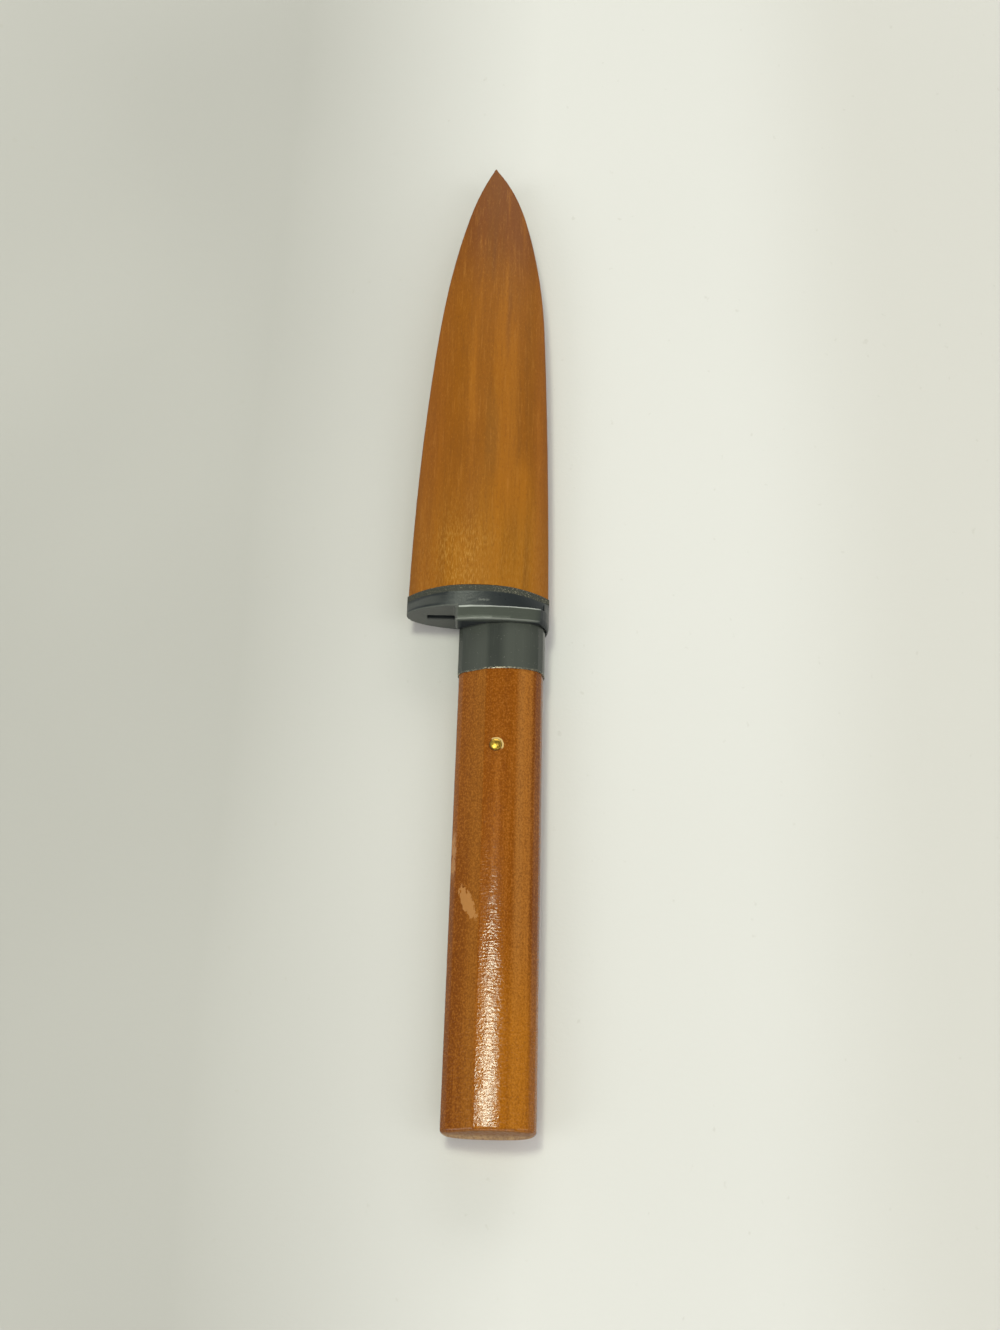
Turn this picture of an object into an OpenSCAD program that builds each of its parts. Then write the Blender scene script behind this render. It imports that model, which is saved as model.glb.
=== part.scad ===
// Kitchen knife in its wooden blade guard, lying flat on the guard.
// +Y runs from the handle to the guard's point, the blade's edge faces -X and its spine +X.
// The origin is under the middle of the whole object, on the surface that it lies on.

/* [Guard] */
// Width of the wooden sheath at its mouth
sheath_w = 33.6; // [30:0.1:38]
// Thickness of the guard, from the land underneath to the ridge on top
guard_t = 14.55; // [13.5:0.05:17]
// Length of the wood from the collar to the point
sheath_len = 132.2; // [125:0.1:145]
// Width of the flat land sanded along the underside, on which the guard rests
land_w = 8.4; // [7:0.1:10]
// Radius of the crown on both faces
crown_r = 23.5; // [22:0.5:30]
// Radius of the softer ridge along the middle of the upper face
ridge_r = 35; // [30:1:60]
// Depth by which the ridge lies below the full crown
ridge_relief = 0.1; // [0.05:0.01:0.2]
// Length of full thickness, measured from the wood's mouth
full_len = 63; // [50:1:80]
// Thickness left at the point
point_t = 5.6; // [5:0.1:8]
// Sideways place of the point, from the guard's centreline towards the spine
point_x = 0.7; // [-2:0.05:3]
// Distances from the wood's mouth at which the plan bends more sharply
bends = [78, 114]; // [60:1:122]
// Lean of the edge side at the mouth, in degrees
edge_lean = 0.5; // [0:0.05:1.5]
// Radii of the edge side up to the first and the second bend
edge_radii = [766, 271]; // [200:1:1500]
// Lean of the spine side at the mouth, in degrees
spine_lean = 0.4; // [0:0.05:1]
// Radii of the spine side up to the first and the second bend
spine_radii = [2070, 169]; // [150:1:2500]

/* [Mouth collar] */
// Height of the collar's rim above the wood at its two edges
collar_proud = 0.25; // [0:0.05:0.5]
// Length of the rim that is sanded level with the wood
rim_len = 1.7; // [1:0.1:3]
// Length of the sloping shoulder below the rim
shoulder_len = 3.5; // [2:0.1:5]
// Thickness of the oval face at the foot of the shoulder
face_t = 12.8; // [11:0.1:14]
// Length of the hood that takes the ferrule
hood_len = 3.7; // [2:0.1:6]
// Thickness of the hood at the crest of its arch
hood_t = 13.3; // [13:0.1:14]
// Sideways place of the arch's crest, from the guard's centreline towards the spine
hood_crest_x = 3.5; // [2:0.1:5]
// Radius of the hood's arched faces
hood_arch_r = 55; // [40:1:90]
// Radius of the hood's round side, level with the spine edge
hood_side_r = 8; // [7.5:0.1:10]
// Wall of the hood on the side of the blade slot
hood_wall = 0.85; // [0.8:0.05:1]
// Rounding of the hood's corners
hood_corner_r = 0.6; // [0.3:0.1:1]
// Length over which the hood's lip is rounded
lip_len = 1.1; // [0.6:0.1:1.5]
// Depth by which the lip is drawn in at the sides
lip_in = 0.55; // [0.3:0.05:0.6]
// Radius of the cove between the hood and the oval face
cove_r = 0.6; // [0.4:0.1:1.2]
// Width of the band that runs on level from the rim to the hood, along the spine
band_w = 1.3; // [1:0.1:2]
// Depth of the spigot that plugs into the wood
spigot_len = 4; // [2:0.5:6]
// Width of the spigot
spigot_w = 18; // [12:0.5:19]
// Thickness over the spigot's two tongues
spigot_t = 7.4; // [6:0.1:8]

/* [Blade] */
// Thickness of the steel
blade_t = 1.4; // [1.2:0.1:1.6]
// Height of the blade at the heel
blade_h = 25.5; // [22:0.1:26]
// Length of the blade from the ferrule to its tip
blade_len = 128.1; // [120:0.1:130]
// Length of the blade with a straight edge and spine
blade_straight = 29; // [20:1:40]
// Drop of the tip below the line of the spine
tip_drop = 12; // [8:0.1:16]
// Width of each ground bevel
bevel_w = 13; // [8:0.5:16]
// Length of the neck between the ferrule and the heel
neck_len = 5.4; // [4:0.1:7]
// Height of the neck
neck_h = 17.2; // [14:0.1:18]
// Length of the tang inside the ferrule and the handle
tang_len = 60; // [45:1:80]
// Height of the tang at the ferrule
tang_h = 9; // [7:0.5:10]
// Sideways place of the spine, from the knife's axis
spine_offset = 8.3; // [7.5:0.1:8.5]
// Clearance on both faces of the blade in its pocket and slot
blade_gap = 0.3; // [0.25:0.05:0.4]
// Room in the pocket beyond the cutting edge
edge_room = 0.85; // [0.5:0.05:1]
// Room in the pocket beyond the spine
spine_room = 0.6; // [0.4:0.05:0.8]

/* [Ferrule] */
// Width of the ferrule
ferrule_w = 20.4; // [19:0.1:21]
// Thickness of the ferrule
ferrule_t = 10.4; // [9.8:0.1:10.6]
// Length of ferrule in view between the hood and the handle
ferrule_shown = 11.9; // [8:0.1:16]
// Sideways place of the knife's axis, from the guard's centreline towards the spine
knife_x = 5.95; // [5.5:0.05:6]
// Clearance round the ferrule in the hood
ferrule_gap = 0.2; // [0.2:0.05:0.3]
// Wall of the ferrule's sleeve
ferrule_wall = 1.3; // [1:0.1:1.8]

/* [Handle] */
// Length of the handle below the ferrule
handle_len = 105.8; // [95:0.1:115]
// Width of the handle at the ferrule
handle_w = 19.8; // [19:0.1:20.2]
// Thickness of the handle at the ferrule
handle_t = 10; // [9.4:0.1:10.2]
// Height of the handle's flat sides
handle_side_h = 1.4; // [1:0.1:2]
// Sideways place of the crease beside the broad facet, towards the edge side
crease_x = -3.3; // [-4:0.1:-2.5]
// Width of the flat on top, from the knife's axis towards the spine
flat_w = 3; // [2:0.1:5]
// Rounding of the handle's long corners
handle_corner_r = 0.5; // [0.3:0.1:0.8]
// Growth of the handle's width and thickness towards the butt
handle_swell = 0.4; // [0:0.1:1]
// Depth of the rounding at the butt's rim
butt_round = 0.9; // [0.5:0.1:2]
// Width that this rounding takes off each side of the butt
butt_side_in = 1.3; // [0.8:0.1:2]
// Height that it takes off the butt's upper and lower faces
butt_face_in = 0.45; // [0.2:0.05:1]
// Length of the tenon inside the ferrule
tenon_len = 12; // [8:0.5:13]

/* [Brass pin] */
// Diameter of the pin
pin_d = 2.8; // [2:0.1:3.5]
// Distance from the ferrule to the pin
pin_from_ferrule = 19.4; // [15:0.1:25]
// Sideways place of the pin, from the knife's axis towards the spine
pin_offset = -0.7; // [-1:0.1:1]
// Height of each domed end above the wood
pin_dome = 0.35; // [0.2:0.05:0.5]

/* [Hidden] */
$fn = 96;
big_fn = 720;
corner_fn = 40;
thin = 0.02;
play = 0.1;

// Lengthwise stations, counted from the middle of the whole object
collar_len = rim_len + shoulder_len;
total_len = handle_len + ferrule_shown + hood_len + collar_len + sheath_len;
butt_y = -total_len / 2;
ferrule_y = butt_y + handle_len;
hood_y = ferrule_y + ferrule_shown;
face_y = hood_y + hood_len;
rim_y = face_y + shoulder_len;
wood_y = rim_y + rim_len;
seat_y = face_y - 0.4;
ferrule_front_y = seat_y - play;
full_y = wood_y + full_len;
point_y = wood_y + sheath_len;
pin_y = ferrule_y - pin_from_ferrule;

// Heights and half sizes
half_w = sheath_w / 2;
collar_half_w = half_w + collar_proud;
land_cut = crown_r - sqrt(crown_r ^ 2 - (land_w / 2) ^ 2);
crown_apex = (guard_t + ridge_relief + land_cut) / 2;
top_h = crown_apex - ridge_relief;
land_h = crown_apex - land_cut;
mid_z = land_h;
taper_len = point_y - full_y;
taper_drop = (guard_t - point_t) / 2;
taper_r = (taper_len ^ 2 + taper_drop ^ 2) / (2 * taper_drop);
taper_angle = asin((taper_len + 1) / taper_r);
ferrule_len = ferrule_front_y - ferrule_y;
hood_left = knife_x - ferrule_w / 2 - ferrule_gap - hood_wall;

// Corners of the handle's facets: inwards from the side, up from the flat side, down from the top
facet_in = [0.5, 1.6, 3.6];
facet_rise = 1.6;
facet_drop = [1.5, 0.6];
crease_drop = 0.4;
broad_in = 1;
broad_rise = 1.3;

// The blade, with its edge and spine as arcs that meet at the tip
spine_x = knife_x + spine_offset;
edge_x = spine_x - blade_h;
straight_y = ferrule_front_y + blade_straight;
curve_len = blade_len - blade_straight;
spine_r = (curve_len ^ 2 + tip_drop ^ 2) / (2 * tip_drop);
edge_rise = blade_h - tip_drop;
edge_r = (curve_len ^ 2 + edge_rise ^ 2) / (2 * edge_rise);
slot_half = blade_t / 2 + blade_gap;
slot_left = edge_x - edge_room;
slot_right = spine_x + spine_room;

// Centre of the arc with radius next_r that runs on smoothly where the arc round c reaches y
function next_centre(c, r, y, next_r) =
    let (p = [c[0] + sqrt(r ^ 2 - (y - c[1]) ^ 2), y]) p - next_r / r * (p - c);

// Radius of the arc that leaves p square to the outward normal n and ends at the point
function last_radius(p, n, point) = let (d = point - p) -(d * d) / (2 * (d * n));

// One side of the plan as three tangent arcs, [centre, radius] each, with x counted outwards
function side_arcs(lean, radii, point) =
    let (c1 = [half_w - radii[0] * cos(lean), -radii[0] * sin(lean)])
    let (c2 = next_centre(c1, radii[0], bends[0], radii[1]))
    let (p2 = next_centre(c2, radii[1], bends[1], 0), n2 = (p2 - c2) / radii[1])
    let (r3 = last_radius(p2, n2, point))
    [[c1, radii[0]], [c2, radii[1]], [p2 - r3 * n2, r3]];

edge_arcs = side_arcs(edge_lean, edge_radii, [-point_x, sheath_len]);
spine_arcs = side_arcs(spine_lean, spine_radii, [point_x, sheath_len]);

module side_disc(arc, side) {
    translate([side * arc[0][0], arc[0][1]]) circle(r = arc[1], $fn = big_fn);
}

// Plan of the wood, in three lengths between the mouth, the bends and the point
module sheath_plan() {
    stations = [0, bends[0], bends[1], sheath_len + 1];
    translate([0, wood_y]) for (i = [0:2]) intersection() {
        side_disc(edge_arcs[i], -1);
        side_disc(spine_arcs[i], 1);
        translate([-sheath_w, stations[i]]) square([2 * sheath_w, stations[i + 1] - stations[i]]);
    }
}

// Limit of the crown: the soft ridge of the upper face, or the flat land of the lower one
module crown_limit(flat) {
    if (flat) translate([-sheath_w, 0]) square([2 * sheath_w, land_h]);
    else translate([0, top_h - ridge_r]) circle(r = ridge_r, $fn = 2 * $fn);
}

// One half of the guard's section, grown outwards where the collar stands proud
module crown_section(flat, reach, grow = 0) {
    intersection() {
        translate([0, crown_apex + grow - crown_r]) circle(r = crown_r);
        crown_limit(flat);
        translate([-reach, 0]) square([2 * reach, guard_t]);
    }
}

// The crown over the full thickness, then turned about a far axis so that it thins to the point
module crown_body(flat) {
    translate([0, full_y, 0]) rotate([90, 0, 0]) linear_extrude(full_len) crown_section(flat, half_w + 1);
    translate([0, full_y, land_h - taper_r]) rotate([0, -90, 0])
        rotate_extrude(angle = taper_angle, $fn = 4 * big_fn)
            translate([taper_r - land_h, 0]) rotate(-90) crown_section(flat, half_w + 1);
}

// Plan of the blade beyond its neck, grown by a gap for the pocket
module blade_plan(start_y, left, right, gap) {
    translate([left, start_y]) square([right - left, straight_y - start_y]);
    intersection() {
        translate([spine_x - spine_r, straight_y]) circle(r = spine_r + gap, $fn = big_fn);
        translate([edge_x + edge_r, straight_y]) circle(r = edge_r + gap, $fn = big_fn);
        translate([left, straight_y]) square([right - left, blade_len]);
    }
}

module half_pocket() {
    linear_extrude(slot_half) blade_plan(wood_y - 1, slot_left, slot_right, spine_room);
}

// The collar's spigot: two tongues, one above and one below the blade slot
module spigot_block(grow, depth) {
    between(wood_y - thin, wood_y + depth)
        square([spigot_w + 2 * grow, spigot_t + 2 * grow], center = true);
}

module sheath_half(flat) {
    difference() {
        intersection() {
            linear_extrude(guard_t) sheath_plan();
            crown_body(flat);
        }
        half_pocket();
        spigot_block(play, spigot_len + play);
    }
}

module sheath_upper_half() {
    color("#a8702c") translate([0, 0, mid_z]) sheath_half(false);
}

module sheath_lower_half() {
    color("#9c6628") translate([0, 0, mid_z]) mirror([0, 0, 1]) sheath_half(true);
}

// Full lens section of the collar's rim, level with the wood along the ridge and the land
module rim_section() {
    crown_section(false, collar_half_w, collar_proud);
    mirror([0, 1]) crown_section(true, collar_half_w, collar_proud);
}

module oval_section() {
    scale([2 * collar_half_w / face_t, 1]) circle(d = face_t);
}

// Stands a section up across the object, between two lengthwise stations
module between(y0, y1) {
    translate([0, y1, 0]) rotate([90, 0, 0]) linear_extrude(y1 - y0) children();
}

module collar_shoulder() {
    hull() {
        between(rim_y, rim_y + thin) rim_section();
        between(face_y, face_y + thin) oval_section();
    }
}

module rounded(r) {
    offset(r = r, $fn = corner_fn) offset(delta = -r) children();
}

// Both arched faces of the hood, for a crest at the given height
module arches(crest) {
    intersection_for(side = [-1, 1])
        translate([hood_crest_x, side * (crest - hood_arch_r)]) circle(r = hood_arch_r, $fn = 2 * $fn);
}

// Outside of the hood: arched faces and a round side level with the spine edge
module hood_section(side_in, arch_in) {
    round_x = collar_half_w - hood_side_r;
    rounded(hood_corner_r) intersection() {
        arches(hood_t / 2 - arch_in);
        union() {
            translate([round_x, 0]) circle(r = hood_side_r - side_in);
            translate([hood_left + side_in, -hood_t / 2]) square([round_x - hood_left - side_in, hood_t]);
        }
    }
}

// The hood stands on the oval face. Its lip is rounded, and its edge side is open below the slot.
module hood() {
    difference() {
        hull() {
            between(hood_y + lip_len, face_y) hood_section(0, 0);
            between(hood_y + lip_len / 3, face_y - 1) hood_section(lip_in / 3, lip_in / 6);
            between(hood_y, face_y - 1) hood_section(lip_in, lip_in / 2);
        }
        translate([hood_left - 1, hood_y - 1, -hood_t])
            cube([1 + hood_wall + ferrule_gap, face_y - hood_y + 1, hood_t]);
    }
}

// Cove in the corner between the hood's edge side and the oval face
module hood_cove() {
    intersection() {
        linear_extrude(hood_t, center = true) translate([hood_left - cove_r, face_y - cove_r]) difference() {
            square(cove_r + play);
            circle(r = cove_r);
        }
        between(face_y - cove_r, face_y + play) intersection() {
            arches(hood_t / 2 - play);
            translate([-sheath_w, 0]) square([2 * sheath_w, hood_t]);
        }
    }
}

// The outermost strip of a section on the spine side
module band_strip() {
    intersection() {
        children();
        translate([collar_half_w - band_w, -guard_t / 2]) square([band_w, guard_t]);
    }
}

module spine_band() {
    hull() {
        between(rim_y, rim_y + thin) band_strip() rim_section();
        between(face_y - thin, face_y) band_strip() hood_section(0, 0);
    }
}

// Section of the handle: a full spine side in three facets, a flat top, and one broad facet from
// the crease down to the thin edge side. Underneath, both sides are full like the spine side.
module handle_section(w, t) {
    half = w / 2;
    top = t / 2;
    side = handle_side_h / 2;
    full_side = [
        [half, side], [half - facet_in[0], side + facet_rise],
        [half - facet_in[1], top - facet_drop[0]], [half - facet_in[2], top - facet_drop[1]]
    ];
    flat_top = [[flat_w, top], [0, top], [crease_x, top - crease_drop]];
    edge_side = [[broad_in - half, side + broad_rise], [-half, side]];
    under_edge = [for (p = full_side) -p];
    under_flat = [[-flat_w, -top], [flat_w, -top]];
    under_spine = [for (i = [3:-1:0]) [full_side[i][0], -full_side[i][1]]];
    rounded(handle_corner_r)
        polygon(concat(full_side, flat_top, edge_side, under_edge, under_flat, under_spine));
}

module mouth_collar() {
    color("#2f3230") difference() {
        translate([0, 0, mid_z]) union() {
            between(rim_y, wood_y) rim_section();
            collar_shoulder();
            hood();
            hood_cove();
            spine_band();
            spigot_block(0, spigot_len);
        }
        translate([slot_left, hood_y - 1, mid_z - slot_half])
            cube([slot_right - slot_left, wood_y + spigot_len + 2 - hood_y, 2 * slot_half]);
        translate([knife_x, 0, mid_z]) between(hood_y - 1, seat_y)
            handle_section(ferrule_w + 2 * ferrule_gap, ferrule_t + 2 * ferrule_gap);
    }
}

// Section of the steel from the cutting edge inwards, both bevels ground to a fine edge
module blade_section() {
    half = blade_t / 2;
    fine = 0.05;
    polygon([[0, -fine], [bevel_w, -half], [blade_h, -half], [blade_h, half], [bevel_w, half], [0, fine]]);
}

module blade_steel() {
    heel_y = ferrule_front_y + neck_len;
    translate([edge_x, 0, 0]) between(heel_y, straight_y) blade_section();
    intersection() {
        translate([edge_x + edge_r, straight_y, 0]) rotate([0, 0, 90])
            rotate_extrude(angle = 90, $fn = big_fn) translate([edge_r, 0]) mirror([1, 0]) blade_section();
        translate([spine_x - spine_r, straight_y, -blade_t / 2])
            cylinder(r = spine_r, h = blade_t, $fn = big_fn);
        translate([edge_x, straight_y, -blade_t / 2]) cube([blade_h, blade_len, blade_t]);
    }
}

module neck_and_tang() {
    tang_end_h = 0.8 * tang_h;
    choil_r = 1.5;
    neck_x = spine_x - neck_h;
    heel_y = ferrule_front_y + neck_len;
    linear_extrude(blade_t, center = true) {
        difference() {
            translate([neck_x - choil_r, ferrule_front_y])
                square([neck_h + choil_r, neck_len]);
            translate([neck_x - choil_r, heel_y - choil_r]) circle(r = choil_r);
            translate([neck_x - 2 * choil_r, ferrule_front_y - 1])
                square([2 * choil_r, neck_len + 1 - choil_r]);
        }
        translate([knife_x, ferrule_front_y]) polygon([
            [-tang_h / 2, 0], [tang_h / 2, 0], [tang_end_h / 2, -tang_len], [-tang_end_h / 2, -tang_len]
        ]);
    }
}

module blade() {
    color("#c9ccce") translate([0, 0, mid_z]) difference() {
        union() {
            blade_steel();
            neck_and_tang();
        }
        translate([knife_x + pin_offset, pin_y, 0])
            cylinder(d = pin_d + 2 * play, h = 2 * blade_t, center = true);
    }
}

module tenon_section(grow) {
    inset = 2 * (ferrule_wall + play) - 2 * grow;
    handle_section(ferrule_w - inset, ferrule_t - inset);
}

module ferrule() {
    color("#3b3e3a") translate([knife_x, 0, mid_z]) difference() {
        between(ferrule_y, ferrule_front_y) handle_section(ferrule_w, ferrule_t);
        between(ferrule_y - 1, ferrule_y + tenon_len + play) tenon_section(play);
        translate([-tang_h / 2 - play, ferrule_y, -blade_t / 2 - play])
            cube([tang_h + 2 * play, ferrule_len + 1, blade_t + 2 * play]);
    }
}

// The handle's shank swells a little to the butt, whose rim is rounded
module handle_shank() {
    butt_w = handle_w + handle_swell;
    butt_t = handle_t + handle_swell;
    hull() {
        between(ferrule_y - thin, ferrule_y) handle_section(handle_w, handle_t);
        for (angle = [0:30:90]) {
            y = butt_y + butt_round * (1 - sin(angle));
            inset = 2 * (1 - cos(angle));
            between(y, y + thin) handle_section(butt_w - inset * butt_side_in, butt_t - inset * butt_face_in);
        }
    }
}

module handle() {
    tang_end_y = ferrule_front_y - tang_len;
    color("#a35f1d") translate([knife_x, 0, mid_z]) difference() {
        union() {
            handle_shank();
            between(ferrule_y - 1, ferrule_y + tenon_len) tenon_section(0);
        }
        translate([-tang_h / 2 - play, tang_end_y - 1, -blade_t / 2 - play])
            cube([tang_h + 2 * play, tang_len, blade_t + 2 * play]);
        translate([pin_offset, pin_y, 0]) cylinder(d = pin_d + play, h = 2 * handle_t, center = true);
    }
}

module brass_pin() {
    flat = handle_t / 2 + 0.1;
    dome_r = ((pin_d / 2) ^ 2 + pin_dome ^ 2) / (2 * pin_dome);
    color("#b08a3e") translate([knife_x + pin_offset, pin_y, mid_z]) {
        cylinder(d = pin_d, h = 2 * flat, center = true);
        for (side = [-1, 1]) intersection() {
            translate([0, 0, side * (flat + pin_dome - dome_r)]) sphere(r = dome_r);
            translate([0, 0, side * (flat + pin_dome / 2)]) cylinder(d = pin_d, h = pin_dome, center = true);
        }
    }
}

sheath_upper_half();
sheath_lower_half();
mouth_collar();
blade();
ferrule();
handle();
brass_pin();
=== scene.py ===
import math

import bpy
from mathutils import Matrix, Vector
from mathutils.bvhtree import BVHTree


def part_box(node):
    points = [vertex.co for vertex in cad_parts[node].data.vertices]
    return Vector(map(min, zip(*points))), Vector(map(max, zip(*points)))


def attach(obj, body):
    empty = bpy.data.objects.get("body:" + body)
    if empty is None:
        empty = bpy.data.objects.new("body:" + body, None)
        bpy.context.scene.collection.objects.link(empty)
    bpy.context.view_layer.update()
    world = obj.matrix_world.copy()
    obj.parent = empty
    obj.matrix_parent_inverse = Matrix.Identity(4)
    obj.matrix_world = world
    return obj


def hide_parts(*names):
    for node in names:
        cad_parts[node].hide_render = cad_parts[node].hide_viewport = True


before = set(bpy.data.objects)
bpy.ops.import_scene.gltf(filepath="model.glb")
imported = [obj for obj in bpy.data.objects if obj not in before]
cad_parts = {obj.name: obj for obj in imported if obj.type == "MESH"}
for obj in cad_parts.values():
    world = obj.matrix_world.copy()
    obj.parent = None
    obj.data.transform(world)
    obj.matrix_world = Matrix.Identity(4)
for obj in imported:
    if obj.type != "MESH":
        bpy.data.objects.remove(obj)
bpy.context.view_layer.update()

# A small kitchen knife in its wooden blade guard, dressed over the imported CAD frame.
# Lengths are in metres, so mm turns a size in millimetres into Blender's units.
mm = 0.001
tiny = 0.001 * mm       # places closer than this count as one
roundSides = 48         # sides of the round pin and of its hole
farOut = 100 * mm       # where a ray starts, outside every solid
straightOn = 0.9        # a face whose normal has more than this share of an axis looks along it
scene = bpy.context.scene

# Places that the frame gives
woodLow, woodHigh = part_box("sheath_upper_half")
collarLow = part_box("mouth_collar")[0]
ferruleLow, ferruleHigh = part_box("ferrule")
handleLow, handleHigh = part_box("handle")
pinLow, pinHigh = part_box("brass_pin")
bladeLow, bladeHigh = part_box("blade")
midZ = woodLow.z                                # the plane where the two halves are glued
axisX = (ferruleLow.x + ferruleHigh.x) / 2      # the knife's own axis
mouthY = woodLow.y
pointY = woodHigh.y
shankY = ferruleLow.y                           # where the handle meets the ferrule
buttY = handleLow.y
pinX = (pinLow.x + pinHigh.x) / 2
pinY = (pinLow.y + pinHigh.y) / 2
pinRadius = (pinHigh.x - pinLow.x) / 2
bladeThickness = bladeHigh.z - bladeLow.z


def selectOnly(piece):
    bpy.ops.object.select_all(action="DESELECT")
    piece.select_set(True)
    bpy.context.view_layer.objects.active = piece


def applyModifier(piece, kind, settings):
    selectOnly(piece)
    modifier = piece.modifiers.new(kind.title(), kind)
    for key, value in settings.items():
        setattr(modifier, key, value)
    bpy.ops.object.modifier_apply(modifier=modifier.name)


def smoothByAngle(piece, degrees):
    selectOnly(piece)
    bpy.ops.object.shade_smooth_by_angle(angle=math.radians(degrees))


# A copy of a CAD node's mesh, with its loose triangles joined
def mergedCopy(node, name):
    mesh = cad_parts[node].data.copy()
    mesh.materials.clear()
    piece = bpy.data.objects.new(name, mesh)
    scene.collection.objects.link(piece)
    selectOnly(piece)
    bpy.ops.object.mode_set(mode="EDIT")
    bpy.ops.mesh.select_all(action="SELECT")
    bpy.ops.mesh.remove_doubles(threshold=tiny)
    bpy.ops.object.mode_set(mode="OBJECT")
    bpy.ops.mesh.customdata_custom_splitnormals_clear()     # they belong to the loose triangles
    return piece


# A CAD node's solid, for rays to meet
def solidOf(node):
    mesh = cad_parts[node].data
    corners = [vertex.co.copy() for vertex in mesh.vertices]
    return BVHTree.FromPolygons(corners, [face.vertices[:] for face in mesh.polygons])


# Edit mode, with only the wanted "vertices" or "polygons" of the active piece selected
def editOnly(piece, kind, wanted):
    bpy.ops.object.mode_set(mode="EDIT")
    bpy.ops.mesh.select_all(action="DESELECT")
    bpy.ops.object.mode_set(mode="OBJECT")
    for part in getattr(piece.data, kind):
        part.select = wanted(part)
    bpy.ops.object.mode_set(mode="EDIT")


# A flat grid whose rows are laid on rings of points, closed along its seam and at both ends
def ringShell(name, rings):
    around = len(rings[0])
    bpy.ops.object.select_all(action="DESELECT")
    bpy.ops.mesh.primitive_grid_add(x_subdivisions=around, y_subdivisions=len(rings) - 1, size=1)
    piece = bpy.context.object
    piece.name = name
    points = piece.data.vertices
    for row, ring in enumerate(rings):
        for column in range(around + 1):
            points[row * (around + 1) + column].co = ring[column % around]
    bpy.ops.object.mode_set(mode="EDIT")
    bpy.ops.mesh.select_all(action="SELECT")
    bpy.ops.mesh.remove_doubles(threshold=0.05 * tiny)      # only the seam's, not the small rings at the nose
    bpy.ops.mesh.fill_holes(sides=0)
    bpy.ops.mesh.select_all(action="SELECT")
    bpy.ops.mesh.normals_make_consistent(inside=False)
    bpy.ops.object.mode_set(mode="OBJECT")
    return piece


def fitOut(piece, body, node, material):
    piece.data.materials.clear()
    piece.data.materials.append(material)
    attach(piece, body)
    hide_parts(node)


# An upright rod as thick as the pin, in its place
def pinRod(name, length):
    bpy.ops.object.select_all(action="DESELECT")
    bpy.ops.mesh.primitive_cylinder_add(
        vertices=roundSides, radius=pinRadius, depth=length, end_fill_type="NGON",
        location=(pinX, pinY, midZ))
    rod = bpy.context.object
    rod.name = name
    bpy.ops.object.transform_apply(location=True, rotation=True, scale=True)
    return rod


# Colours are written as they look on a screen, 0 to 255
def tone(red, green, blue):
    shares = [value / 255 for value in (red, green, blue)]
    linear = [s / 12.92 if s <= 10 / 255 else ((s + 0.055) / 1.055) ** 2.4 for s in shares]
    return (*linear, 1)


# A socket that takes part in sums: each operator adds its Math node
class Field:
    def __init__(self, look, socket):
        self.look = look
        self.socket = socket

    def sum(self, operation, *values):
        return self.look.add("ShaderNodeMath", {"operation": operation}, dict(enumerate(values)))

    def __add__(self, other):
        return self.sum("ADD", self, other)

    def __radd__(self, other):
        return self.sum("ADD", other, self)

    def __sub__(self, other):
        return self.sum("SUBTRACT", self, other)

    def __rsub__(self, other):
        return self.sum("SUBTRACT", other, self)

    def __mul__(self, other):
        return self.sum("MULTIPLY", self, other)

    def __rmul__(self, other):
        return self.sum("MULTIPLY", other, self)

    def __gt__(self, other):
        return self.sum("GREATER_THAN", self, other)

    def __pow__(self, other):
        return self.sum("POWER", self, other)

    def most(self, other):
        return self.sum("MAXIMUM", self, other)

    # 0 below the first value and 1 above the second, or the other way round
    def between(self, start, end):
        values = {"Value": self, "From Min": start, "From Max": end}
        return self.look.add("ShaderNodeMapRange", {"interpolation_type": "SMOOTHSTEP"}, values)

    # The same with straight ramps
    def slope(self, start, end):
        return self.look.add("ShaderNodeMapRange", values={"Value": self, "From Min": start, "From Max": end})

    # 1 inside a band, fading out over an edge on both sides
    def band(self, low, high, fade):
        return self.between(low - fade, low + fade) * self.between(high + fade, high - fade)


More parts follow.
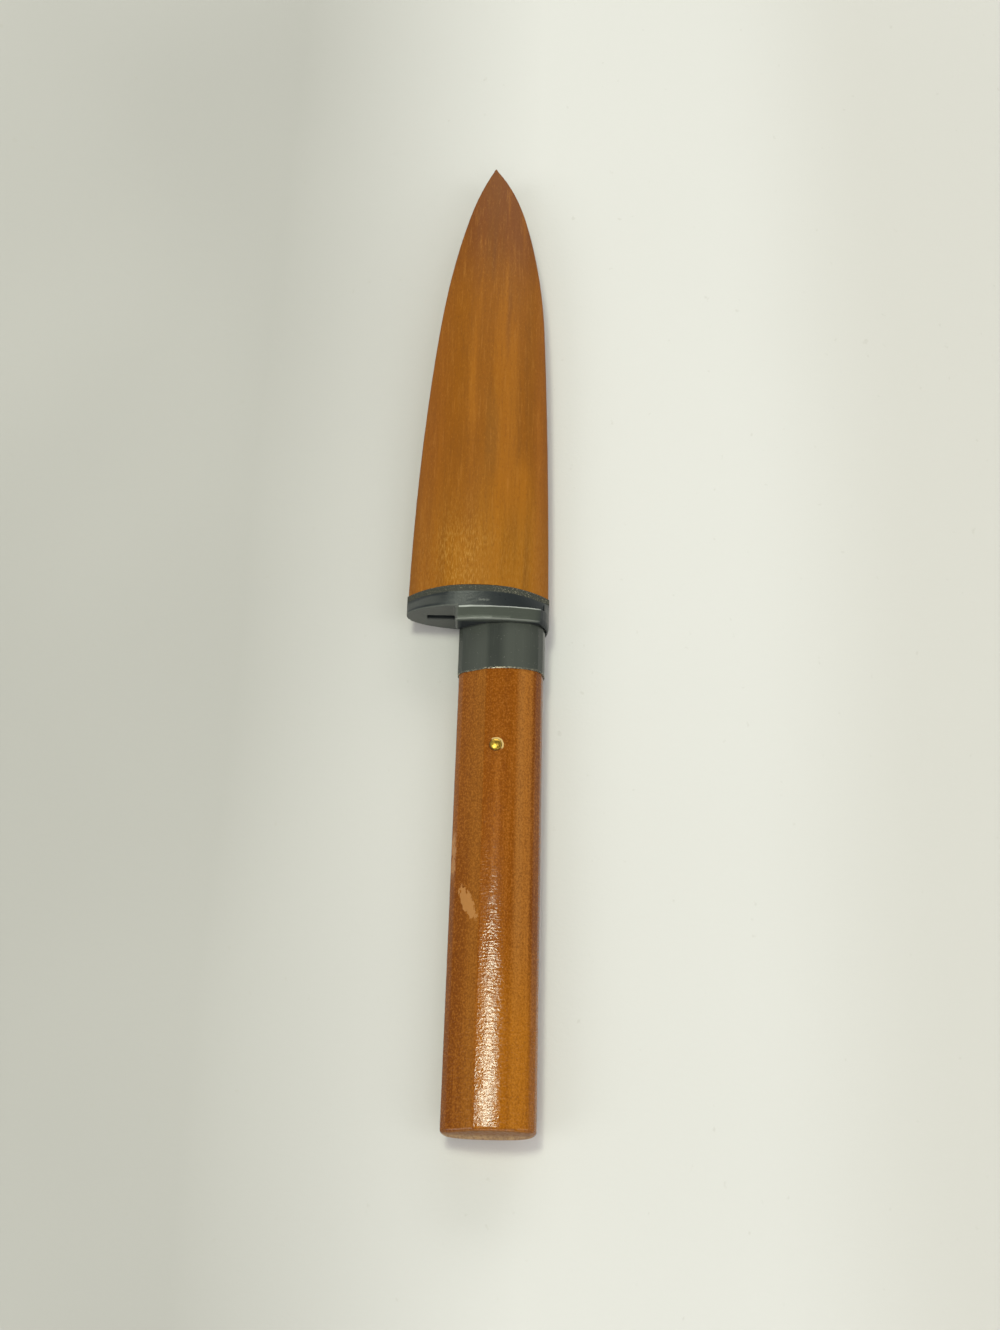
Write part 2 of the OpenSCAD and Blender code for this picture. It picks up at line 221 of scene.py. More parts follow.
# One material, with its coordinates in millimetres from a place on the object
class Look:
    def __init__(self, name, origin=(0, 0, 0)):
        self.material = bpy.data.materials.new(name)
        self.material.use_nodes = True
        self.tree = self.material.node_tree
        self.tree.nodes.clear()
        place = self.vector("SUBTRACT", self.add("ShaderNodeTexCoord", output="Object"), tuple(origin))
        self.place = self.vector("SCALE", place, scale=1 / mm)
        parts = self.add("ShaderNodeSeparateXYZ", values={0: self.place}, output=None)
        self.x, self.y, self.z = (Field(self, parts.outputs[i]) for i in range(3))

    # Any node: its settings first, then the values or links of its sockets
    def add(self, kind, settings=None, values=None, output=0):
        node = self.tree.nodes.new(kind)
        for key, value in (settings or {}).items():
            setattr(node, key, value)
        for key, value in (values or {}).items():
            if isinstance(value, Field):
                self.tree.links.new(value.socket, node.inputs[key])
            else:
                node.inputs[key].default_value = value
        return node if output is None else Field(self, node.outputs[output])

    def vector(self, operation, first, second=None, scale=None):
        values = {0: first}
        if second is not None:
            values[1] = second
        if scale is not None:
            values["Scale"] = scale
        return self.add("ShaderNodeVectorMath", {"operation": operation}, values)

    # Noise whose patches have the given sizes in millimetres along X, Y and Z
    def noise(self, size, detail=2, roughness=0.5, shift=(0, 0, 0), place=None):
        moved = self.vector("ADD", place or self.place, shift)
        shrunk = self.vector("MULTIPLY", moved, tuple(1 / s for s in size))
        values = {"Vector": shrunk, "Scale": 1, "Detail": detail, "Roughness": roughness}
        return self.add("ShaderNodeTexNoise", values=values)

    def mix(self, mask, first, second):
        return self.add("ShaderNodeMix", {"data_type": "RGBA"}, {0: mask, 6: first, 7: second}, output=2)

    def joined(self, x, y, z):
        return self.add("ShaderNodeCombineXYZ", values={0: x, 1: y, 2: z})

    def bump(self, height, depth, under=None):
        values = {"Height": height, "Distance": depth * mm, "Strength": 1}
        if under is not None:
            values["Normal"] = under
        return self.add("ShaderNodeBump", values=values)

    def finish(self, values):
        shader = self.add("ShaderNodeBsdfPrincipled", values=values)
        self.add("ShaderNodeOutputMaterial", values={"Surface": shader}, output=None)
        return self.material


print("frame loaded, tools ready")

# Camera: above the handle, looking down along the knife at the angle of the photograph
cameraLook = {
    "height": 360 * mm,            # above the knife's middle plane
    "aside": 4.25 * mm,            # from the knife's axis towards the spine
    "behind": 173.85 * mm,         # from the ferrule's end towards the butt and past it
    "tilt": 26.2,                  # degrees from straight down
    "turn": 1.476,                 # degrees round the upright
    "lens": 46.0,                  # millimetres, like the sensor's height
    "sensorHeight": 36,
    "imageWidth": 1000,
    "imageHeight": 1330,
    "clipStart": 10 * mm,
}
cameraPlace = (axisX + cameraLook["aside"], shankY - cameraLook["behind"], midZ + cameraLook["height"])
bpy.ops.object.camera_add(location=cameraPlace)
camera = bpy.context.object
camera.rotation_euler = (math.radians(cameraLook["tilt"]), 0, math.radians(cameraLook["turn"]))
camera.data.sensor_fit = "VERTICAL"
camera.data.sensor_height = cameraLook["sensorHeight"]
camera.data.sensor_width = cameraLook["sensorHeight"] * cameraLook["imageWidth"] / cameraLook["imageHeight"]
camera.data.lens = cameraLook["lens"]
camera.data.clip_start = cameraLook["clipStart"]
scene.camera = camera
print("camera set")

# Floor and light
stageLook = {
    "floorSize": 12.0,
    "floorZ": -0.03 * mm,        # just under what stands on it
    "table": tone(216, 214, 211),
    # painted shade on the table: darker to the left of the knife, a little darker far to its right
    "tableLeftShade": tone(177, 175, 170),
    "tableRightShade": tone(204, 201, 196),
    "tablePatches": tone(204, 202, 197),
    "tableSpecks": tone(176, 172, 162),
    "skyOverhead": 0.24,
    "skyAtHorizon": 0.78,
    "skyColour": (1.0, 1.0, 0.98, 1),
    "wallTop": 0.12,             # upward share of a direction, where the walls begin to dim
    "ceilingFrom": 0.62,         # and where they are as dim as the ceiling
    "lamps": {
        # name: place, width and length, power, colour
        "frontWindow": ((0.1, -1.35, 1.45), (1.5, 0.8), 11.0, (1, 1, 0.98)),
        "backWindow": ((0.3, 1.75, 0.95), (1.8, 0.6), 12.4, (1, 1, 0.98)),
        "leftBounce": ((-1.4, -0.7, 1.2), (0.9, 0.9), 6.5, (1, 1, 0.98)),
        "rightBounce": ((1.4, -0.6, 1.2), (0.9, 0.9), 5.0, (1, 1, 0.98)),
        "smallLamp": ((-0.225, 0.1175, 1.2), (0.3, 0.135), 5.0, (0.93, 1, 0.81)),
        "smallLampTail": ((-0.065, 0.1, 1.2), (0.15, 0.09), 1.5, (0.93, 1, 0.81)),
    },
}


# A pale table top with painted shade, darker to the left of the knife and a little darker far to its right,
# that ends in the colour of the walls
def floorMaterial():
    look = Look("paleTable")
    soft = look.noise((160, 220, 160))
    fine = look.noise((1.2, 1.2, 1.2), detail=4, roughness=0.7, shift=(7, 3, 0))
    away = (look.x ** 2 + look.y ** 2) ** 0.5
    near = away.between(460, 180)
    across = look.x + 16 * (soft - 0.5)
    # painted shade: darker to the left of the knife, and a little darker far to its right
    colour = look.mix(across.slope(14, -58) * near, stageLook["table"], stageLook["tableLeftShade"])
    colour = look.mix(across.between(60, 110) * near * 0.9, colour, stageLook["tableRightShade"])
    colour = look.mix(soft.between(0.4, 0.75) * 0.25, colour, stageLook["tablePatches"])
    specks = look.noise((2.6, 3.4, 3), shift=(31, 9, 0)).between(0.7, 0.78)
    colour = look.mix(specks * 0.22, colour, stageLook["tableSpecks"])
    top = look.add("ShaderNodeBsdfPrincipled", values={
        "Base Color": colour,
        "Roughness": 0.62 + 0.12 * fine,
        "Specular IOR Level": 0.3,
        "Normal": look.bump(fine, 0.05),
    })
    # far away the table melts into the walls, for the camera and in what mirrors or passes light
    rays = look.add("ShaderNodeLightPath", output=None)
    seen = Field(look, rays.outputs["Is Camera Ray"]).most(Field(look, rays.outputs["Is Glossy Ray"]))
    seen = seen.most(Field(look, rays.outputs["Is Transmission Ray"]))
    wall = look.add("ShaderNodeEmission", values={
        "Color": stageLook["skyColour"], "Strength": stageLook["skyAtHorizon"]})
    mixed = look.add("ShaderNodeMixShader", values={0: seen * away.between(450, 1300), 1: top, 2: wall})
    look.add("ShaderNodeOutputMaterial", values={"Surface": mixed}, output=None)
    return look.material


bpy.ops.mesh.primitive_plane_add(size=stageLook["floorSize"], location=(0, 0, stageLook["floorZ"]))
floor = bpy.context.object
floor.name = "table"
floor.data.materials.append(floorMaterial())

# the room: pale walls round a dimmer ceiling
world = bpy.data.worlds.new("softRoom")
scene.world = world
world.use_nodes = True
worldNodes = world.node_tree.nodes
worldNodes.clear()
direction = worldNodes.new("ShaderNodeTexCoord")
heightInRoom = worldNodes.new("ShaderNodeSeparateXYZ")
wallToCeiling = worldNodes.new("ShaderNodeMapRange")
for socket, key in (("From Min", "wallTop"), ("From Max", "ceilingFrom"),
                    ("To Min", "skyAtHorizon"), ("To Max", "skyOverhead")):
    wallToCeiling.inputs[socket].default_value = stageLook[key]
roomLight = worldNodes.new("ShaderNodeBackground")
roomLight.inputs["Color"].default_value = stageLook["skyColour"]
worldOut = worldNodes.new("ShaderNodeOutputWorld")
for start, end in ((direction.outputs["Generated"], heightInRoom.inputs[0]),
                   (heightInRoom.outputs["Z"], wallToCeiling.inputs["Value"]),
                   (wallToCeiling.outputs[0], roomLight.inputs["Strength"]),
                   (roomLight.outputs[0], worldOut.inputs["Surface"])):
    world.node_tree.links.new(start, end)


def areaLight(name, place, size, power, colour):
    bpy.ops.object.light_add(type="AREA", location=place)
    lamp = bpy.context.object
    lamp.name = name
    lamp.data.shape = "RECTANGLE"
    lamp.data.size = size[0]
    lamp.data.size_y = size[1]
    lamp.data.energy = power
    lamp.data.color = colour
    lamp.rotation_euler = (-Vector(place)).to_track_quat("-Z", "Y").to_euler()


for lampName, lampFacts in stageLook["lamps"].items():
    areaLight(lampName, *lampFacts)
scene.view_settings.view_transform = "Standard"
print("stage and light set")

# The two wooden halves of the guard
sheathLook = {
    "rings": 150,                # from the mouth to the nose
    "ringCrowding": 1.35,        # above 1, they lie closer together towards the nose
    "mouthInset": 0.01 * mm,     # how far inside the mouth the first one lies, for its rays to meet wood
    "outlineHeight": 0.12 * mm,  # off the glue plane, where the outline is read
    "edgeInset": 0.03 * mm,      # in from the outline, where the wall's height is read
    "slopeRun": 1 * mm,          # stretch of crown whose slope is carried on to the point
    "crownPoints": 44,           # across the crown, between the rounded shoulders
    "rimRound": 0.62 * mm,       # how far the rounding of the rim reaches down the wall
    "rimLean": 0.8,              # its reach across the crown, as a share of that
    "rimSteps": 5,
    "rimAtMost": 0.8,            # of half of a narrow ring's width, or of its wall
    "ridgeAtMost": 0.55,         # of half of a narrow ring's width
    "noseRound": 0.35 * mm,      # rounding of the upright edge at the point
    "noseStart": 0.9 * mm,       # where that rounding takes over, before the point
    "noseStep": 8,               # degrees of that rounding from ring to ring
    "noseEnd": 89,               # just short of 90, where a ring would have no width
    "seamBevel": 0.07 * mm,      # each half's share of the fine groove at the glue line
    # half the width of the upper half's ridge, and of the flat land that the lower one has instead
    "ridgeHalf": {"sheath_upper_half": 3.8 * mm, "sheath_lower_half": 4.2 * mm},
    "smoothAngle": 32,
    "colours": {
        "mouth": tone(151, 94, 9),         # pale gold near the collar
        "middle": tone(136, 79, 1),        # amber
        "point": tone(116, 62, 4),         # brown
        # painted shade on the sides, low down towards the glue line
        "edge": tone(116, 66, 10),
        "glueLine": tone(70, 38, 14),
        "streakPale": tone(166, 101, 12),
        "streakDark": tone(114, 68, 8),
        "darkPatch": tone(126, 72, 2),
        "olive": tone(126, 82, 22),
        "darkLine": tone(104, 58, 20),
        "leftShade": tone(134, 74, 22),
        "rightShade": tone(140, 78, 26),
        "fibrePale": tone(190, 128, 52),
        "fibreDark": tone(106, 60, 16),
        "porePale": tone(190, 132, 50),
        "poreDark": tone(96, 54, 10),
        "fleckPale": tone(204, 156, 74),
        "fleckDark": tone(124, 72, 4),
    },
}


# Reads one half's outline and height from its CAD solid, with rays
class WoodGauge:
    def __init__(self, node, up):
        self.solid = solidOf(node)
        self.up = up
        self.ridgeHalf = sheathLook["ridgeHalf"][node]

    def side(self, y, direction):
        start = Vector((-direction * farOut, y, midZ + self.up * sheathLook["outlineHeight"]))
        return self.solid.ray_cast(start, Vector((direction, 0, 0)))[0].x

    def sides(self, y):
        return self.side(y, 1), self.side(y, -1)

    def solidHeight(self, x, y):
        start = Vector((x, y, midZ + self.up * farOut))
        return abs(self.solid.ray_cast(start, Vector((0, 0, -self.up)))[0].z - midZ)

    # The crown's height; past the last full ring it is read there and carried on down its slope
    def height(self, x, y):
        readY = min(y, pointY - sheathLook["noseStart"])
        here = self.solidHeight(x, readY)
        if readY == y:
            return here
        before = self.solidHeight(x, readY - sheathLook["slopeRun"])
        return here - (before - here) * (y - readY) / sheathLook["slopeRun"]


def curvePoints(start, corner, end, count):
    steps = [i / count for i in range(count + 1)]
    return [(1 - s) ** 2 * start + 2 * s * (1 - s) * corner + s ** 2 * end for s in steps]


# One side of a ring, as places across and up: seam, wall and rounded rim
def woodSide(gauge, y, edge, inward, half, reach):
    # the shares of half keep the narrow rings near the point from folding over
    seam = sheathLook["seamBevel"]
    top = gauge.height(edge + inward * min(sheathLook["edgeInset"], 0.2 * half), y)
    drop = min(reach, sheathLook["rimAtMost"] * (top - seam))
    rimX = edge + inward * reach * sheathLook["rimLean"]
    rimStart = Vector((edge, top - drop))
    rimEnd = Vector((rimX, gauge.height(rimX, y)))
    groove = [Vector((edge + inward * min(seam, 0.5 * half), 0)), Vector((edge, seam))]
    return groove + curvePoints(rimStart, Vector((edge, top)), rimEnd, sheathLook["rimSteps"])


# One ring of a wooden half: its left side, the crown, and its right side
def woodRing(gauge, y, left, right):
    middle = (left + right) / 2
    half = (right - left) / 2
    atMost = sheathLook["rimAtMost"]
    reach = min(sheathLook["rimRound"], atMost * half)
    crownHalf = half - sheathLook["rimLean"] * reach
    inner = min(gauge.ridgeHalf, sheathLook["ridgeAtMost"] * half, atMost * crownHalf)
    leftSide = woodSide(gauge, y, left, 1, half, reach)
    rightSide = woodSide(gauge, y, right, -1, half, reach)
    ring = list(leftSide)
    count = sheathLook["crownPoints"] // 4
    stops = [leftSide[-1].x, middle - inner, middle + inner, rightSide[-1].x]
    for first, last, steps in zip(stops, stops[1:], (count, 2 * count, count)):
        for i in range(1, steps + 1):
            x = first + (last - first) * i / steps
            ring.append(Vector((x, gauge.height(x, y))))
    ring.pop()      # the right side ends there too
    ring += reversed(rightSide)
    return [Vector((p.x, y, midZ + gauge.up * p.y)) for p in ring]


def buildWoodHalf(node, name, up):
    gauge = WoodGauge(node, up)
    rings = []
    lastY = pointY - sheathLook["noseStart"]
    for i in range(sheathLook["rings"] + 1):
        share = 1 - (1 - i / sheathLook["rings"]) ** sheathLook["ringCrowding"]
        y = mouthY + sheathLook["mouthInset"] + (lastY - mouthY) * share
        rings.append(woodRing(gauge, y, *gauge.sides(y)))
    # the nose: the sides run on to a small round edge instead of a knife-sharp one
    left, right = gauge.sides(lastY)
    centreX = (left + right) / 2
    lean = math.atan((right - left) / 2 / (pointY - lastY))
    radius = sheathLook["noseRound"]
    centreY = pointY - radius / math.sin(lean)
    for angle in range(math.ceil(math.degrees(lean)), sheathLook["noseEnd"], sheathLook["noseStep"]):
        turn = math.radians(angle)
        halfWidth = radius * math.cos(turn)
        y = centreY + radius * math.sin(turn)
        rings.append(woodRing(gauge, y, centreX - halfWidth, centreX + halfWidth))
    print(name, "rings", len(rings), "of", len(rings[0]))
    return ringShell(name, rings)


# The hollows in the wood: the blade's pocket, the spigot's socket and the tang's slot
hollowLook = {
    "overrun": 1 * mm,           # how far a cutter runs on past what it cuts, or past the blade's tip
    "steelSteps": 40,            # rings along the blade or the tang
    "steelHeight": 0.01 * mm,    # off the middle plane, where the steel's outline is read
    "thinTip": 1.3 * mm,         # the blade's last stretch, too thin to read
    "heelInset": 2 * mm,         # inside the mouth, where the blade is first read
    "tangInset": 0.5 * mm,       # from the tang's end, where it is first read
    "bladePlay": 0.65 * mm,      # beside the blade's edge and its spine
    "pocketHalf": 1 * mm,        # half of the pocket's thickness
    "tangPlay": 0.1 * mm,        # all round the tang
    "socketHalfWidth": 9.1 * mm,
    "socketHalfThickness": 3.8 * mm,
    "socketDepth": 4.1 * mm,
}


def boxRing(y, left, right, halfThickness):
    low, high = midZ - halfThickness, midZ + halfThickness
    return [Vector((x, y, z)) for x, z in ((left, low), (right, low), (right, high), (left, high))]


# A hollow for the blade or its tang: the steel's own outline, read from the side and grown a little
def steelCutter(name, fromY, toY, firstReadY, play, halfThickness):
    solid = solidOf("blade")
    height = midZ + hollowLook["steelHeight"]
    steps = hollowLook["steelSteps"]
    rings = []
    for i in range(steps + 1):
        y = fromY + (toY - fromY) * i / steps
        readY = min(max(y, firstReadY), bladeHigh.y - hollowLook["thinTip"])
        left = solid.ray_cast(Vector((-farOut, readY, height)), Vector((1, 0, 0)))[0].x
        right = solid.ray_cast(Vector((farOut, readY, height)), Vector((-1, 0, 0)))[0].x
        rings.append(boxRing(y, left - play, right + play, halfThickness))
    return ringShell(name, rings)


def cutWith(piece, cutter):
    applyModifier(piece, "BOOLEAN", {"operation": "DIFFERENCE", "object": cutter, "solver": "EXACT"})


# The socket that takes the collar's spigot
def socketCutter():
    ends = (mouthY - hollowLook["overrun"], mouthY + hollowLook["socketDepth"])
    halfWidth = hollowLook["socketHalfWidth"]
    halfThickness = hollowLook["socketHalfThickness"]
    return ringShell("socketCutter", [boxRing(y, -halfWidth, halfWidth, halfThickness) for y in ends])


pocket = steelCutter(
    "pocketCutter", mouthY - hollowLook["overrun"], bladeHigh.y + hollowLook["overrun"],
    mouthY + hollowLook["heelInset"], hollowLook["bladePlay"], hollowLook["pocketHalf"])
socket = socketCutter()
sheathTop = buildWoodHalf("sheath_upper_half", "sheathTop", 1)
sheathBottom = buildWoodHalf("sheath_lower_half", "sheathBottom", -1)
for half in (sheathTop, sheathBottom):
    cutWith(half, pocket)
    cutWith(half, socket)
    smoothByAngle(half, sheathLook["smoothAngle"])
for cutter in (pocket, socket):
    bpy.data.objects.remove(cutter)
print("wooden halves built")


def sheathMaterial(name, up):
    look = Look(name, (0, mouthY, midZ))
    colours = sheathLook["colours"]
    y = look.y
    height = up * look.z
    drift = look.noise((16, 60, 16), shift=(3, 11, 5)) - 0.5
    x = look.x + 2.4 * drift
    grainPlace = look.joined(x, y, look.z)
    along = y + 20 * drift
    base = look.mix(along.between(46, 6), colours["middle"], colours["mouth"])
    base = look.mix(along.between(86, 112), base, colours["point"])
    # soft streaks that run with the grain
    broad = look.noise((3.4, 95, 8), detail=3, roughness=0.55, place=grainPlace)
    base = look.mix(broad.between(0.5, 0.72) * 0.42, base, colours["streakDark"])
    base = look.mix(broad.between(0.48, 0.3) * 0.4, base, colours["streakPale"])
    darkPatch = x.band(-8, -1, 1.5) * y.band(14, 45, 6)
    base = look.mix(darkPatch * 0.5, base, colours["darkPatch"])
    paleBand = x.band(5.2, 8.4, 1.0).most(x.band(5.2, 11.5, 1.0) * y.between(42, 30)) * y.band(20, 77, 8)
    base = look.mix(paleBand * 0.5, base, colours["streakPale"])
    oliveBand = x.band(0.6, 3.9, 1.0) * y.band(31, 54, 8)
    base = look.mix(oliveBand * 0.34, base, colours["olive"])
    darkLines = (x.band(0.9, 1.7, 0.5) * y.band(93, 109, 5)).most(x.band(5.4, 6.2, 0.5) * y.band(67, 89, 7))
    base = look.mix(darkLines * 0.35, base, colours["darkLine"])
    # painted shade on the crown's left slope towards the point, and along the right edge
    leftShade = x.between(-4, -14) * y.between(122, 92)
    base = look.mix(leftShade * 0.4, base, colours["leftShade"])
    rightShade = x.between(11.5, 14.5)
    base = look.mix(rightShade * 0.3, base, colours["rightShade"])
    # fibres, pores and the pale flecks that show most near the collar
    fibre = look.noise((0.55, 9, 1.2), detail=4, roughness=0.62, place=grainPlace)
    speckle = look.noise((0.34, 1.0, 0.5), detail=3, roughness=0.7, shift=(9, 2, 4), place=grainPlace)
    base = look.mix(fibre.between(0.52, 0.74) * 0.26, base, colours["fibreDark"])
    base = look.mix(fibre.between(0.48, 0.26) * 0.2, base, colours["fibrePale"])
    base = look.mix(speckle.between(0.52, 0.72) * 0.3, base, colours["poreDark"])
    base = look.mix(speckle.between(0.46, 0.28) * 0.18, base, colours["porePale"])
    dash = look.noise((0.24, 1.5, 0.4), detail=3, roughness=0.65, shift=(2, 6, 1), place=grainPlace)
    patches = look.noise((7, 12, 7), shift=(5, 8, 2))
    mouthFlecks = y.between(30, 6) * (0.35 + 0.65 * (x + 9 * (patches - 0.5)).band(-9, 1, 2.5))
    pointFlecks = patches.between(0.5, 0.62) * y.between(78, 90) * y.between(112, 102) * 0.2
    fleckZone = mouthFlecks.most(pointFlecks)
    base = look.mix(dash.between(0.48, 0.64) * fleckZone * 0.34, base, colours["fleckPale"])
    base = look.mix(dash.between(0.46, 0.32) * fleckZone * 0.5, base, colours["fleckDark"])
    # painted shade darkens the sides as they drop towards the glue line; the glue line itself is darkest
    base = look.mix(height.between(3.0, 0.8) * 0.4, base, colours["edge"])
    base = look.mix(height.between(0.45, 0.1) * 0.55, base, colours["glueLine"])
    sheen = look.noise((5, 18, 5), detail=3, shift=(1, 4, 7))
    ripple = look.bump(fibre + 0.6 * speckle, 0.02)
    return look.finish({
        "Base Color": base,
        "Roughness": 0.34 + 0.2 * sheen + 0.1 * speckle,
        "Coat Weight": 0.08 * sheen,
        "Coat Roughness": 0.35,
        "Specular IOR Level": 0.14,
        "Normal": look.bump(sheen, 0.06, ripple),
    })


fitOut(sheathTop, "guard", "sheath_upper_half", sheathMaterial("lacqueredWoodTop", 1))
fitOut(sheathBottom, "guard", "sheath_lower_half", sheathMaterial("lacqueredWoodUnder", -1))
print("wooden halves finished")

# The moulded collar: the CAD form with every corner softened as a moulding's are
collarLook = {
    "voxel": 0.16 * mm,
    "softening": 3,              # rounds of smoothing
    "hoodLength": 3.7 * mm,      # how far the hood stands out
    "colours": {
        "plastic": tone(37, 41, 43),
        "cloud": tone(46, 49, 49),
        "sanded": tone(62, 62, 50),
        "leftSheen": tone(72, 74, 71),
        "hoodTopLight": tone(71, 75, 67),
        "ovalFaceLight": tone(88, 90, 85),
        "dust": tone(172, 164, 140),
        "scuff": tone(92, 94, 88),
        "smudge": tone(120, 122, 116),
        "frontEdgeHighlight": tone(168, 171, 166),
        "lip": tone(140, 142, 136),
    },
}
collar = mergedCopy("mouth_collar", "mouthCollar")
applyModifier(collar, "REMESH", {
    "mode": "VOXEL", "voxel_size": collarLook["voxel"], "use_smooth_shade": True,
})
applyModifier(collar, "SMOOTH", {"factor": 0.5, "iterations": collarLook["softening"]})
print("collar faces", len(collar.data.polygons))


def collarMaterial():
    look = Look("blackMoulding", (0, mouthY, midZ))
    colours = collarLook["colours"]
    # distance from the face that the hood stands on, towards the wood
    pastFace = look.y - (collarLow.y + collarLook["hoodLength"] - mouthY) / mm
    mould = look.noise((0.5, 0.5, 0.5), detail=4, roughness=0.6)
    cloud = look.noise((4, 3, 4), detail=3, roughness=0.55, shift=(2, 7, 1))
    rim = look.y.between(-1.95, -1.5)
    speck = look.noise((0.3, 0.25, 0.3), detail=3, roughness=0.75, shift=(4, 1, 8))
    spineSide = look.x.between(2, 9)
    dust = speck.between(0.56, 0.66) * rim * (0.3 + 0.6 * spineSide)
    scuffs = look.noise((3.0, 0.35, 0.6), detail=3, roughness=0.65, shift=(6, 2, 3)).between(0.6, 0.72)
    smudgeEdges = (look.y + 1.4 * (speck - 0.5)).band(-3.95, -3.6, 0.1)
    smudge = (look.x - 1.5).band(-1.2, 1.2, 0.4) * smudgeEdges * (look.z > 5)
    # painted highlights along the hood's front edge and its lip
    onTop = look.z.between(5.0, 5.8)
    frontEdgeHighlight = (pastFace + 0.12 * (cloud - 0.5)).band(-0.34, 0.08, 0.1) * onTop * look.x.between(-4.6, -4.2)
    lip = pastFace.band(-3.5, -3.2, 0.12) * onTop
    # painted light: the hood's top and the oval face are lit copies of the black plastic, lighter than the
    # rest
    hoodTopLight = onTop * pastFace.between(0.3, -0.2) * look.x.between(-5.2, -4.4)
    ovalFaceLight = pastFace.between(0.55, 0.2) * look.x.between(-4.4, -4.8)
    # painted sheen on the left of the shoulder
    leftSheen = look.x.between(-6, -11) * (look.y + 0.8 * (cloud - 0.5)).band(-4.3, -2.3, 0.4)
    colour = look.mix(cloud.between(0.4, 0.8) * 0.3, colours["plastic"], colours["cloud"])
    colour = look.mix(leftSheen * 0.8, colour, colours["leftSheen"])
    colour = look.mix(hoodTopLight * 0.85, colour, colours["hoodTopLight"])
    colour = look.mix(ovalFaceLight * 0.8, colour, colours["ovalFaceLight"])
    colour = look.mix(rim * (0.4 + 0.4 * mould), colour, colours["sanded"])
    colour = look.mix(dust, colour, colours["dust"])
    colour = look.mix(scuffs * 0.22, colour, colours["scuff"])
    colour = look.mix(smudge * 0.5, colour, colours["smudge"])
    colour = look.mix(frontEdgeHighlight * 0.85, colour, colours["frontEdgeHighlight"])
    colour = look.mix(lip * 0.5, colour, colours["lip"])
    return look.finish({
        "Base Color": colour,
        "Roughness": 0.22 + 0.1 * cloud + 0.34 * rim + 0.06 * mould,
        "Specular IOR Level": 0.26,
        "Normal": look.bump(mould + 0.8 * speck * rim, 0.03),
    })


fitOut(collar, "guard", "mouth_collar", collarMaterial())
print("collar finished")

# The ferrule
ferruleLook = {
    "rimBevel": 0.16 * mm,
    "rimSegments": 3,
    "sharpAngle": 60,            # degrees, from which an edge is bevelled
    "endCut": 0.4 * mm,          # how far from each end the sides are cut
    "smoothAngle": 62,
    "colours": {
        "plastic": tone(53, 56, 52),
        "cloud": tone(56, 59, 55),
        "sheenStripe": tone(74, 77, 71),
        "drawLine": tone(84, 86, 80),
        "scratch": tone(166, 166, 156),
        "chip": tone(206, 194, 162),
    },
}
ferrule = mergedCopy("ferrule", "ferruleSleeve")
applyModifier(ferrule, "BEVEL", {
    "width": ferruleLook["rimBevel"],
    "segments": ferruleLook["rimSegments"],
    "limit_method": "ANGLE",
    "angle_limit": math.radians(ferruleLook["sharpAngle"]),
})
# a cut close to each end keeps the sides' shading straight
for cutY in (ferruleLow.y + ferruleLook["endCut"], ferruleHigh.y - ferruleLook["endCut"]):
    bpy.ops.object.mode_set(mode="EDIT")
    bpy.ops.mesh.select_all(action="SELECT")
    bpy.ops.mesh.bisect(plane_co=(0, cutY, 0), plane_no=(0, 1, 0))
    bpy.ops.object.mode_set(mode="OBJECT")
smoothByAngle(ferrule, ferruleLook["smoothAngle"])


def ferruleMaterial():
    look = Look("greyBlackMoulding", (axisX, shankY, midZ))
    colours = ferruleLook["colours"]
    x = look.x
    mould = look.noise((0.4, 0.6, 0.4), detail=4, roughness=0.6)
    cloud = look.noise((2.4, 6, 4), detail=3, shift=(4, 6, 1))
    drawLines = look.noise((0.35, 9, 0.8), detail=3, roughness=0.6, shift=(3, 1, 6))
    # painted sheen: paler stripes where the facets catch the light
    leftSheenStripe = x.slope(-11, -5.5) * x.between(-2.6, -3.9) * 0.9
    sheenStripes = leftSheenStripe.most(x.between(-0.9, 1.8) * x.slope(9.5, 5))
    colour = look.mix(cloud.between(0.3, 0.8) * 0.4, colours["plastic"], colours["cloud"])
    colour = look.mix(sheenStripes * 0.85, colour, colours["sheenStripe"])
    colour = look.mix(drawLines.between(0.56, 0.75) * 0.25, colour, colours["drawLine"])
    scratch = look.noise((0.16, 0.4, 0.3), detail=1, shift=(2, 9, 4)).between(0.76, 0.8)
    colour = look.mix(scratch * 0.7, colour, colours["scratch"])
    joint = look.y.between(0.5, 0.1)
    chips = look.noise((0.8, 0.3, 0.8), detail=3, roughness=0.75, shift=(1, 3, 2))
    chipZone = 0.3 + 0.7 * x.band(-3.5, 3.4, 1.2)
    colour = look.mix(joint * chips.between(0.48, 0.56) * chipZone, colour, colours["chip"])
    return look.finish({
        "Base Color": colour,
        "Roughness": 0.13 + 0.07 * cloud + 0.04 * mould,
        "Specular IOR Level": 0.35,
        "Normal": look.bump(mould + 0.5 * drawLines, 0.008),
    })


fitOut(ferrule, "knife", "ferrule", ferruleMaterial())
print("ferrule finished")

